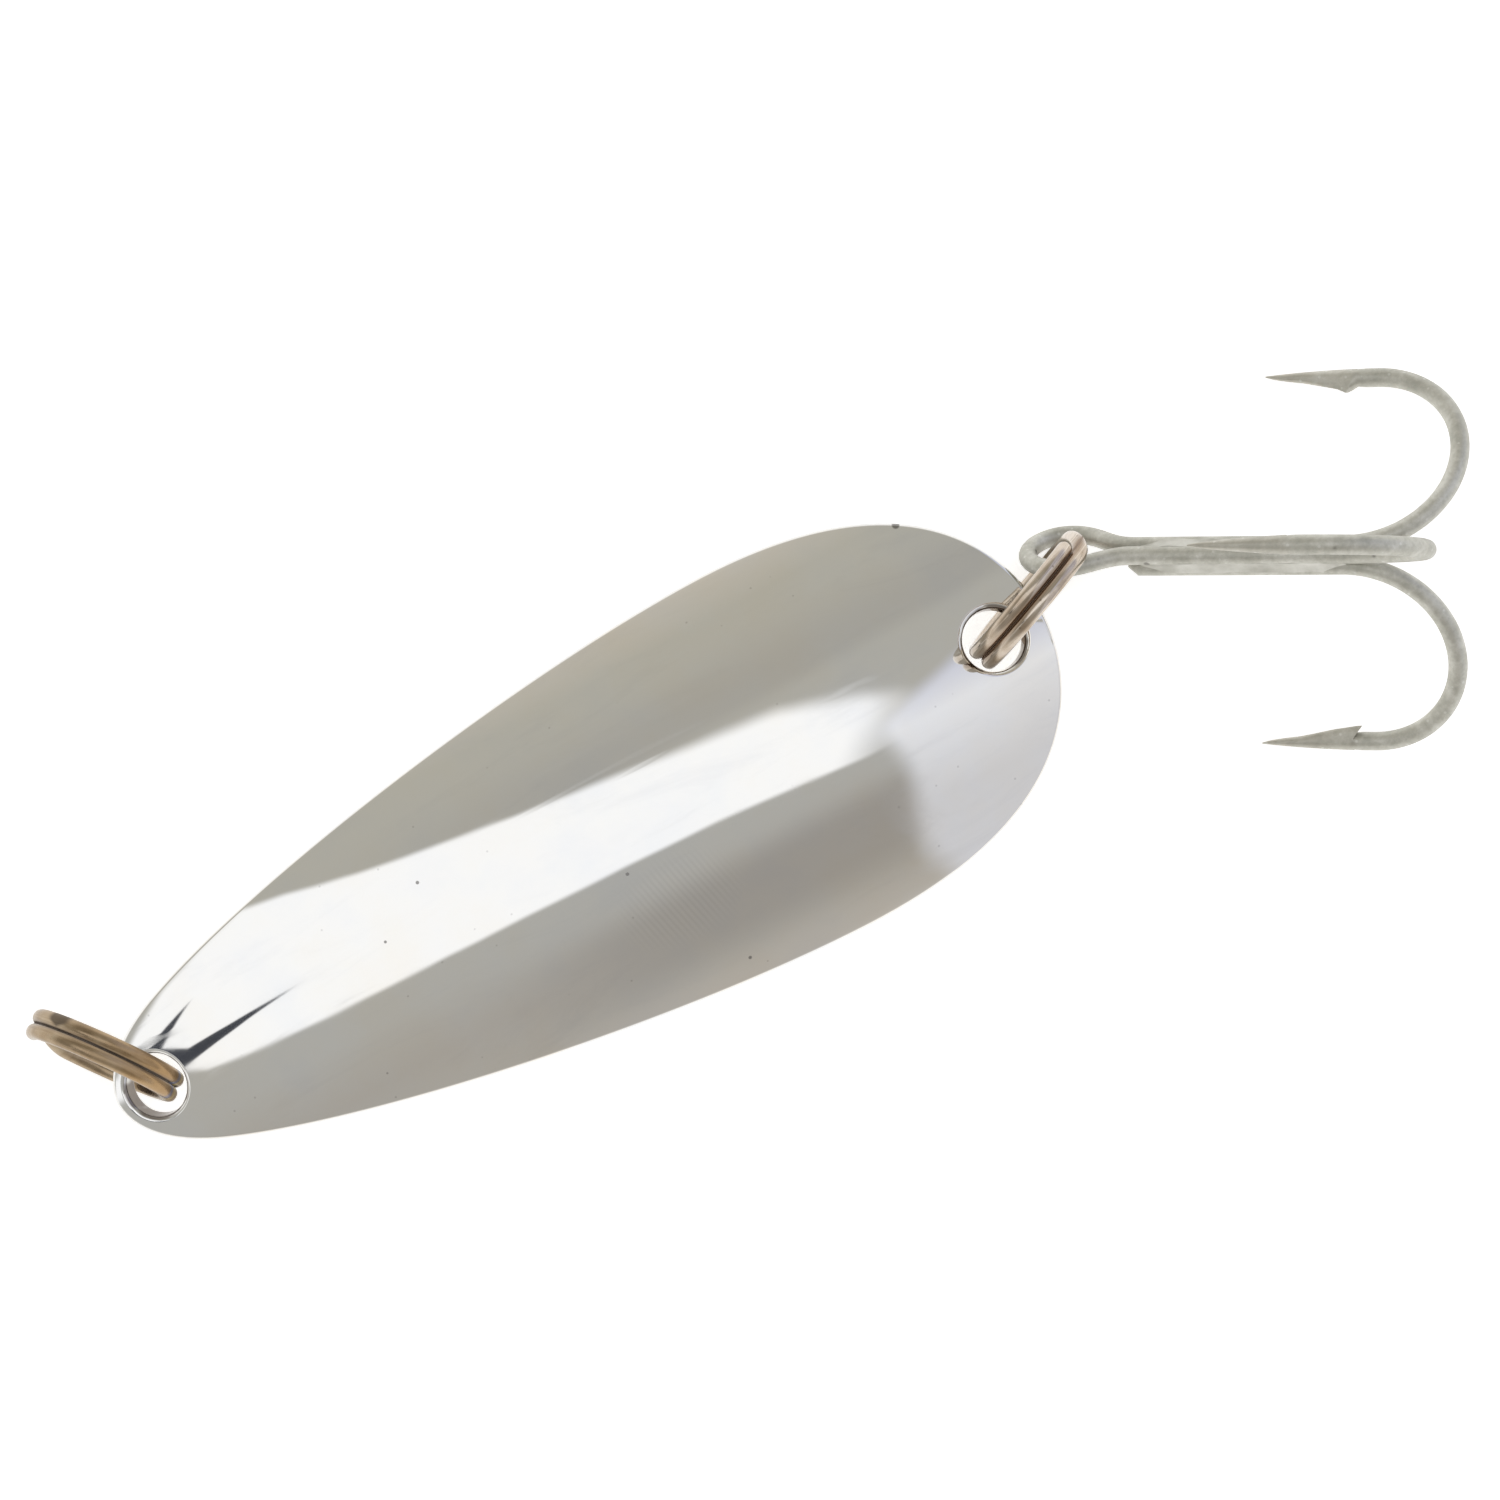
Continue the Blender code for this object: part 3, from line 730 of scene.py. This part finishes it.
def plan_points(shape, border, spacing=0.75 * MM):
    """Staggered rows of points inside the plan, kept off the border points."""
    row_share, clearance = 0.87, 0.55
    border_cells = {}
    for point in border:
        border_cells.setdefault((int(point.x // spacing), int(point.y // spacing)), []).append(point)
    found = []
    rows = int(shape.sizes.half_width / (spacing * row_share)) + 1
    for j in range(-rows, rows + 1):
        y = j * spacing * row_share
        for i in range(int(shape.sizes.length / spacing) + 1):
            point = Vector(((i + 0.5 * (j % 2)) * spacing, y))
            cell = (int(point.x // spacing), int(point.y // spacing))
            near = [
                other
                for di in (-1, 0, 1)
                for dj in (-1, 0, 1)
                for other in border_cells.get((cell[0] + di, cell[1] + dj), ())
            ]
            clear = all((other - point).length > clearance * spacing for other in near)
            if clear and on_metal(shape, [point]):
                found.append(point)
    return found


def on_metal(shape, corners):
    """Whether the middle of the corners lies inside the outline's rounding and outside both holes."""
    sizes = shape.sizes
    middle = sum(corners, Vector((0, 0))) / len(corners)
    for at in (sizes.nose_hole_at, sizes.tail_hole_at):
        slope = shape.normal(at, 0).z
        if math.hypot((middle.x - at) / slope, middle.y) < sizes.hole_radius + sizes.hole_rounding * 0.95:
            return False
    stations = shape.stations
    for a, b in zip(stations, stations[1:]):
        if a.x <= middle.x <= b.x:
            share = (middle.x - a.x) / (b.x - a.x) if b.x > a.x else 0
            run = Vector((b.x - a.x, b.y - a.y)).normalized()
            return abs(middle.y) < a.y + share * (b.y - a.y) - sizes.rim_rounding * 0.9 / max(run.x, 0.05)
    return False


class LURE_OT_blade(bpy.types.Operator):
    """Build the stamped blade with its rounded rims and two punched holes"""

    bl_idname = "lure.blade"
    bl_label = "Blade"

    def execute(self, context):
        sizes = settings().blade
        material = metal("polished_nickel_finish", sizes.colour, polished_nickel)
        mesh = blade_mesh(BladeShape(sizes))
        finished_object("blade_sheet", mesh, material, "blade_body", "blade")
        return {"FINISHED"}


# ---------------------------------------------------------------- split rings


# Where each ring's wire starts, and how far its section is from round (2)
LINE_RING_START, HOOK_RING_START = 0, 40
RING_SQUARENESS = 2.2


def ring_stations(sizes, start_angle, steps_per_turn=96):
    """Two turns of wire about Z: the first below, a jog, then the second above."""
    radius = sizes.outer_radius - sizes.wire / 2
    turn = 4 * math.pi - sizes.jog
    steps = round(steps_per_turn * turn / (2 * math.pi))
    stations = []
    for i in range(steps + 1):
        angle = turn * i / steps
        share = min(max((angle - 2 * math.pi + sizes.jog) / sizes.jog, 0), 1)
        rise = sizes.pitch * (share * share * (3 - 2 * share) - 0.5)
        around = angle + start_angle
        centre = (radius * math.cos(around), radius * math.sin(around), rise)
        stations.append(Station(centre, sizes.wire / 2))
    return stations


def ring_mesh(name, sizes, start_angle):
    """A ring about Z that stores how near the groove each point lies, and its place round the ring."""
    up = Vector((0, 0, 1))
    stations = ring_stations(sizes, start_angle)
    mesh = swept_wire(name, stations, sides=24, up=up, squareness=RING_SQUARENESS)
    points = [vertex.co for vertex in mesh.vertices]
    groove = [max(1 - abs(point.z) / (sizes.wire / 2), 0) for point in points]
    turn = [math.atan2(point.y, point.x) / (2 * math.pi) for point in points]
    for label, data in (("groove", groove), ("turn", turn)):
        mesh.attributes.new(label, "FLOAT", "POINT").data.foreach_set("value", data)
    return mesh


def ring_place(node, joint):
    """Where a ring stands: its middle from the CAD node's box, its axis from its joint."""
    low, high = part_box(node)
    axis = Vector(JOINTS[joint]["axis"]).normalized()
    heading = Vector((-axis.y, axis.x, 0)).normalized()
    return frame_of((low + high) / 2, heading, axis)


class LURE_OT_split_rings(bpy.types.Operator):
    """Build the tarnished ring that takes the line and the bright ring that takes the hook"""

    bl_idname = "lure.split_rings"
    bl_label = "Split rings"

    def execute(self, context):
        sizes = settings().rings
        rings = (
            ("line_tie_ring", "line_ring_body", "tarnished_bronze", tarnished_wire, LINE_RING_START),
            ("hook_ring", "hook_ring_body", "nickel_wire", bright_wire, HOOK_RING_START),
        )
        colours = {"line_tie_ring": sizes.line_ring_colour, "hook_ring": sizes.hook_ring_colour}
        for node, body, slot, build, start in rings:
            material = metal(slot + "_finish", colours[node], build)
            mesh = ring_mesh(node + "_wire", sizes, math.radians(start))
            mesh.transform(ring_place(node, node + "_swing"))
            ring = finished_object(node + "_wire", mesh, material, body, node)
            # The line ring's image in the blade would cover that of the dark stand
            ring.visible_glossy = node == "hook_ring"
        return {"FINISHED"}


# ---------------------------------------------------------------- treble hook

UPRIGHT, LEFT, RIGHT = 0.0, math.radians(120), math.radians(-120)

# The bend, from the outermost wire through its middle to the shank
BEND_OUTER, BEND_INNER, BEND_MIDDLE = 4.9 * MM, 5.7 * MM, 6.3 * MM

# The point: how long it tapers, its tip, how full the taper is, and how far the tip leans in
POINT_TAPER, POINT_TIP_RADIUS, POINT_FULLNESS, POINT_SET_IN = 5.1 * MM, 0.035 * MM, 0.6, 0.3 * MM

# The barb: how far it stands out and sweeps back, and the shares of the taper where each begins
BARB_HEIGHT, BARB_SWEEP, BARB_RISES_AT, BARB_SWEEPS_AT = 0.44 * MM, 0.55 * MM, 0.4, 0.8

# The eye, where the ring's wire goes through it in its own axes, and where the third wire is cut
EYE_LENGTH, EYE_SLOPE, EYE_WEAR = 6.4 * MM, 1.6 * MM, 0.03
THREADED_AT = (2.6 * MM, -0.15 * MM, 0.1 * MM)
CUT_END_AT = 6.6 * MM

# The braze: its ends, its taper and what is left of it at its ends, and half its section (height, half width)
BEAD_START, BEAD_END, BEAD_TAPER, BEAD_END_SHARE = 6.8 * MM, 18.0 * MM, 1.2 * MM, 0.35
BEAD_FOOT, BEAD_CREST = 0.15 * MM, 0.445 * MM
BEAD_FLANK = (
    (BEAD_FOOT, 0.05 * MM), (0.30 * MM, 0.25 * MM), (0.43 * MM, 0.38 * MM), (0.504 * MM, 0.44 * MM),
    (0.495 * MM, 0.36 * MM), (0.47 * MM, 0.25 * MM), (0.45 * MM, 0.12 * MM),
)


class TrebleShape:
    """The treble in its own axes: x from the eye down the shank, z along the upright hook."""

    def __init__(self, sizes):
        self.sizes = sizes
        self.offset = (sizes.wire + sizes.wire_gap) / 2 / math.sin(math.radians(60))

    def beside(self, x, radius, angle, across=0.0):
        return Matrix.Rotation(-angle, 3, "X") @ Vector((x, across, radius))

    def eye_frame(self):
        first, second = self.beside(0, self.offset, UPRIGHT), self.beside(0, self.offset, LEFT)
        along = Vector((1, 0, 0))
        return frame_of((first + second) / 2, along, along.cross(first - second))

    def hook(self, angle, taper_steps=26, bend_steps=26):
        """One hook from its point to the start of its shank, with its barb."""
        s = self.sizes
        wire = s.wire / 2
        outer, bend_x = s.gape + wire, s.length - wire
        straight = s.point_length - BEND_OUTER
        start = bend_x - s.point_length
        inward = self.beside(0, -1, angle)
        stations = []
        for i in range(taper_steps + 1):
            along = POINT_TAPER * i / taper_steps
            share = max((i / taper_steps) ** POINT_FULLNESS, POINT_TIP_RADIUS / wire)
            radius = share * wire
            set_in = POINT_SET_IN * (1 - along / straight) ** 2
            keel = BARB_HEIGHT * max(i / taper_steps - BARB_RISES_AT, 0) / 0.6
            back = BARB_SWEEP * max(i / taper_steps - BARB_SWEEPS_AT, 0) / 0.2
            centre = self.beside(start + along, outer - radius - set_in, angle)
            stations.append(Station(centre, radius, keel, inward, back, 1 - 0.6 * i / taper_steps))
        after = self.beside(start + POINT_TAPER + 0.06 * MM, s.gape, angle)
        stations.append(Station(after, wire * 0.93, 0.0, None, 0.0, 0.3))
        stations.append(Station(self.beside(start + POINT_TAPER + 0.5 * MM, s.gape, angle), wire))
        for i in range(bend_steps + 1):
            turn = math.pi / 2 * (1 - i / bend_steps)
            x = bend_x - BEND_OUTER * (1 - math.cos(turn))
            height = BEND_MIDDLE + (s.gape - BEND_MIDDLE) * math.sin(turn)
            stations.append(Station(self.beside(x, height, angle), wire))
        for i in range(1, bend_steps + 1):
            turn = math.pi / 2 * i / bend_steps
            x = bend_x - BEND_INNER * (1 - math.cos(turn))
            height = BEND_MIDDLE - (BEND_MIDDLE - self.offset) * math.sin(turn)
            stations.append(Station(self.beside(x, height, angle), wire))
        return stations

    def eye(self, arm_points=22, crown_steps=34, shank_steps=8):
        """The shank and eye from the upright hook round to the left hook."""
        s = self.sizes
        place = self.eye_frame()
        half = s.eye_width / 2
        crown_x = s.wire / 2 + half
        slope = Vector((EYE_SLOPE, 0, 0))
        neck = Vector((EYE_LENGTH, (s.wire + s.wire_gap) / 2, 0))
        shoulder = Vector((crown_x, half, 0))
        bend_end = s.length - s.wire / 2 - BEND_INNER
        shank = [neck.lerp(Vector((bend_end, neck.y, 0)), 1 - i / shank_steps) for i in range(1, shank_steps)]
        arm = shank + interpolate_bezier(neck, neck - slope, shoulder + slope, shoulder, arm_points)
        crown = [math.pi / 2 + math.pi * i / crown_steps for i in range(1, crown_steps)]
        outline = [(point.x, point.y) for point in arm]
        outline += [(crown_x + half * math.cos(a), half * math.sin(a)) for a in crown]
        outline += [(point.x, -point.y) for point in reversed(arm)]
        worn = [1 - EYE_WEAR * min(max((EYE_LENGTH - x) / MM, 0), 1) for x, width in outline]
        radii = [s.wire / 2 * share for share in worn]
        centres = [place @ Vector((x, width, 0)) for x, width in outline]
        return [Station(centre, radius) for centre, radius in zip(centres, radii)]

    def double_hook(self):
        return self.hook(UPRIGHT) + self.eye() + self.hook(LEFT)[::-1]

    def single_hook(self, shank_steps=10):
        """The third hook, whose shank ends in a slanted cut short of the eye."""
        hook = self.hook(RIGHT)
        start = hook[-1].centre.x
        shank = []
        for i in range(1, shank_steps + 1):
            x = start + (CUT_END_AT - start) * i / shank_steps
            shank.append(Station(self.beside(x, self.offset, RIGHT), self.sizes.wire / 2))
        slanted = self.beside(CUT_END_AT - 0.45 * MM, self.offset - 0.2 * MM, RIGHT)
        return hook + shank + [Station(slanted, self.sizes.wire * 0.28)]

    def place(self):
        """The treble's place: the hook ring's wire runs through the eye where the treble's hinge is."""
        s = self.sizes
        turn = Matrix.Rotation(s.heading, 4, "Z") @ Matrix.Rotation(-s.tilt, 4, "Y")
        crossing = Vector(JOINTS["treble_swing"]["pos_m"])
        return Matrix.Translation(crossing - turn @ self.eye_frame() @ Vector(THREADED_AT)) @ turn


def fillet_mesh(name, shape, angle, steps=44):
    """A bead of braze that fills the groove between two wires, thins out at its ends and swells a little."""
    base = shape.offset * math.cos(math.radians(60))
    section = [*BEAD_FLANK, (BEAD_CREST, 0.0)] + [(height, -half) for height, half in reversed(BEAD_FLANK)]
    points, faces = [], []
    for i in range(steps + 1):
        x = BEAD_START + (BEAD_END - BEAD_START) * i / steps
        from_end = min(x - BEAD_START, BEAD_END - x)
        full = min(1.0, BEAD_END_SHARE + 0.65 * from_end / BEAD_TAPER)
        swell = 1 + 0.03 * math.sin(x / MM * 2.3 + angle) * math.sin(x / MM * 0.9)
        for height, half in section:
            rise = base + BEAD_FOOT + (height - BEAD_FOOT) * full * swell
            points.append(shape.beside(x, rise, angle, half * full))
    count = len(section)
    for i in range(steps):
        for j in range(count):
            k = (j + 1) % count
            faces.append((i * count + j, i * count + k, (i + 1) * count + k, (i + 1) * count + j))
    faces += [tuple(range(count)), tuple(range(steps * count, (steps + 1) * count))]
    mesh = bpy.data.meshes.new(name)
    mesh.from_pydata(points, [], faces)
    bm = bmesh.new()
    bm.from_mesh(mesh)
    bmesh.ops.recalc_face_normals(bm, faces=bm.faces)
    bm.to_mesh(mesh)
    bm.free()
    mesh.shade_smooth()
    mesh.set_sharp_from_angle(angle=math.radians(50))
    return mesh


class LURE_OT_treble(bpy.types.Operator):
    """Build the treble hook: the wire with two hooks and the eye, and the wire of the third hook"""

    bl_idname = "lure.treble"
    bl_label = "Treble hook"

    def execute(self, context):
        sizes = settings().treble
        shape = TrebleShape(sizes)
        material = metal("dull_tin_finish", sizes.colour, dull_tin)
        wires = (("treble_double_hook", shape.double_hook()), ("treble_single_hook", shape.single_hook()))
        for node, stations in wires:
            mesh = swept_wire(node + "_wire", stations, end_rounding=0.3)
            mesh.transform(shape.place())
            finished_object(node + "_wire", mesh, material, "treble_body", node)
        return {"FINISHED"}


class LURE_OT_braze(bpy.types.Operator):
    """Build the braze in the three grooves between the shanks"""

    bl_idname = "lure.braze"
    bl_label = "Braze"

    def execute(self, context):
        sizes = settings().treble
        shape = TrebleShape(sizes)
        material = metal("braze_finish", sizes.braze_colour, braze_metal)
        for groove, degrees in (("double", 60), ("left", 180), ("right", -60)):
            name = "braze_fillet_" + groove
            mesh = fillet_mesh(name, shape, math.radians(degrees))
            mesh.transform(shape.place())
            finished_object(name, mesh, material, "treble_body", "braze_bead_" + groove)
        return {"FINISHED"}


# ---------------------------------------------------------------- stage


FLOOR_HALF_WIDTH, FLOOR_GLOW = 3.0, 0.55

# Edges of the white strip overhead, as (x, y) of a direction
FAR_EDGE = (
    (-0.78, 0.12), (-0.68, 0.25), (-0.54, 0.41), (-0.34, 0.60), (-0.28, 0.57), (-0.20, 0.50),
    (-0.03, 0.385), (0.12, 0.31), (0.24, 0.26), (0.31, 0.15), (0.37, 0.0), (0.40, -0.2),
)
NEAR_EDGE = (
    (-0.61, 0.0), (-0.55, -0.06), (-0.46, -0.09), (-0.32, -0.12), (-0.06, -0.145), (0.14, -0.175),
    (0.30, -0.245),
)

# Colours of the grey walls and of the panel past the tail, over the y of a direction
WALL_COLOURS = (
    (0.06, (0.52, 0.49, 0.45)), (0.12, (0.47, 0.45, 0.415)), (0.22, (0.45, 0.43, 0.40)),
    (0.36, (0.49, 0.485, 0.465)), (0.5, (0.50, 0.495, 0.47)), (0.72, (0.495, 0.485, 0.445)),
    (0.88, (0.51, 0.495, 0.44)), (0.95, (0.60, 0.565, 0.50)),
)
PANEL_COLOURS = (
    (0.0, (0.66, 0.69, 0.82)), (0.2, (0.70, 0.73, 0.87)), (0.4, (0.92, 0.94, 1.0)), (0.8, (0.72, 0.73, 0.78)),
)
WHITE_STRIP, PALE_HORIZON, DARK_STAND = (1.16, 1.17, 1.19), (0.98, 0.975, 0.95), (0.03, 0.035, 0.05)

# The dark stand's strokes: start, end and half width at the start
STAND_STROKES = (
    ((-0.60, 0.045), (-0.335, 0.118), 0.036),
    ((-0.655, 0.14), (-0.505, 0.295), 0.024),
    ((-0.60, 0.02), (-0.74, 0.26), 0.075),
)


def build_floor(colour):
    mesh = bpy.data.meshes.new("floor")
    half = FLOOR_HALF_WIDTH
    corners = [(-half, -half, 0), (half, -half, 0), (half, half, 0), (-half, half, 0)]
    mesh.from_pydata(corners, [], [(0, 1, 2, 3)])
    floor = bpy.data.objects.new("floor", mesh)
    bpy.context.scene.collection.objects.link(floor)
    material = bpy.data.materials.new("pale_table")
    paint = Paint(material)
    sockets = {"Base Color": tuple(colour), "Roughness": 0.9}
    sockets.update({"Emission Color": (1, 1, 1), "Emission Strength": FLOOR_GLOW})
    shader = paint.node("ShaderNodeBsdfPrincipled", {}, sockets)
    paint.node("ShaderNodeOutputMaterial", {}, {"Surface": shader})
    mesh.materials.append(material)


def build_studio_light():
    """Grey studio under a white ceiling strip along the blade's ridge, with a cooler panel past the tail,
    pale walls at the floor, and a forked dark stand in front of the nose."""
    world = bpy.data.worlds.new("studio")
    bpy.context.scene.world = world
    paint = Paint(world)
    direction = paint.node("ShaderNodeTexCoord", output=0)
    split = paint.node("ShaderNodeSeparateXYZ", {}, {0: direction}).socket.node
    x, y, z = (Wire(paint, split.outputs[i]) for i in range(3))
    overhead = paint.step(z, 0.0, 0.05)
    far_edge = paint.profile(x, FAR_EDGE)
    near_edge = paint.profile(x, NEAR_EDGE)
    far_softness = paint.math("MAXIMUM", x, 0.0) * 0.3 + 0.03
    strip = paint.step(y - near_edge, -0.012, 0.02) * paint.step(far_edge - y, -0.005, far_softness)
    strip = strip * overhead * (1 - paint.step(x + y * -0.25, 0.31, 0.40))
    panel = paint.step(x + paint.step(y * -1, 0.3, 1.0) * 0.085, 0.305, 0.335)
    panel = panel * (1 - paint.step(y + (x - 0.40) * -1.6, -0.06, 0.05)) * overhead
    walls = paint.ramp((y + 1) * 0.5, WALL_COLOURS)
    dim = paint.step(x, -0.20, 0.10) * paint.step(y * -1, 0.32, 0.5) * (1 - paint.step(y * -1, 0.66, 0.86))
    walls = paint.mix(dim * 0.6, walls, (0.33, 0.31, 0.285))
    shade = paint.step(x, -0.30, 0.05) * paint.step(y, 0.26, 0.36) * (1 - paint.step(y, 0.40, 0.70))
    walls = paint.mix(shade * 0.4, walls, (0.38, 0.37, 0.35))
    lit = paint.mix(1 - paint.step(z, 0.14, 0.46), walls, PALE_HORIZON)
    lit = paint.mix(panel, lit, paint.ramp(y * -1 + 0.2, PANEL_COLOURS))
    lit = paint.mix(strip, lit, WHITE_STRIP)
    stand = 0.0
    for start, end, half_width in STAND_STROKES:
        stand = paint.math("MAXIMUM", stand, paint.stroke(x, y, start, end, half_width))
    lit = paint.mix(stand * 0.97 * overhead, lit, DARK_STAND)
    background = paint.node("ShaderNodeBackground", {}, {"Color": lit, "Strength": 1.0})
    paint.node("ShaderNodeOutputWorld", {}, {"Surface": background})


def build_camera(studio):
    nose = BladeShape(settings().blade).origin
    camera = bpy.data.cameras.new("camera")
    camera.angle = studio.field_of_view
    camera.clip_start = 0.01
    camera.clip_end = 20
    holder = bpy.data.objects.new("camera", camera)
    across, along = studio.camera_centre
    holder.location = (nose.x + across, nose.y + along, studio.camera_height)
    holder.rotation_euler = (0, 0, studio.camera_turn)
    bpy.context.scene.collection.objects.link(holder)
    bpy.context.scene.camera = holder


class LURE_OT_studio(bpy.types.Operator):
    """Lay the pale floor, set the soft studio light and stand the camera over the blade"""

    bl_idname = "lure.studio"
    bl_label = "Studio"

    def execute(self, context):
        studio = settings().studio
        build_floor(studio.floor_colour)
        build_studio_light()
        build_camera(studio)
        context.scene.view_settings.view_transform = "Standard"
        return {"FINISHED"}


# ---------------------------------------------------------------- add-on


class LureSettings(bpy.types.PropertyGroup):
    """All that a user would change."""

    blade: bpy.props.PointerProperty(name="Blade", description="Blade sizes", type=BladeSettings)
    rings: bpy.props.PointerProperty(name="Rings", description="Split ring sizes", type=RingSettings)
    treble: bpy.props.PointerProperty(name="Treble", description="Treble hook sizes", type=TrebleSettings)
    studio: bpy.props.PointerProperty(name="Studio", description="Stage sizes", type=StudioSettings)


OPERATORS = (LURE_OT_blade, LURE_OT_split_rings, LURE_OT_treble, LURE_OT_braze, LURE_OT_studio)


class LURE_PT_panel(bpy.types.Panel):
    """Lists the steps that build the lure"""

    bl_idname = "LURE_PT_panel"
    bl_label = "Spoon lure"
    bl_space_type = "VIEW_3D"
    bl_region_type = "UI"
    bl_category = "Spoon lure"

    def draw(self, context):
        for operator in OPERATORS:
            self.layout.operator(operator.bl_idname)


GROUPS = (BladeSettings, RingSettings, TrebleSettings, StudioSettings, LureSettings)
CLASSES = (*GROUPS, *OPERATORS, LURE_PT_panel)


def register():
    for cls in CLASSES:
        bpy.utils.register_class(cls)
    bpy.types.Scene.spoon_lure = bpy.props.PointerProperty(type=LureSettings)


def unregister():
    del bpy.types.Scene.spoon_lure
    for cls in reversed(CLASSES):
        bpy.utils.unregister_class(cls)


def main():
    register()
    bpy.ops.lure.blade()
    bpy.ops.lure.split_rings()
    bpy.ops.lure.treble()
    bpy.ops.lure.braze()
    bpy.ops.lure.studio()


if __name__ == "__main__":
    main()
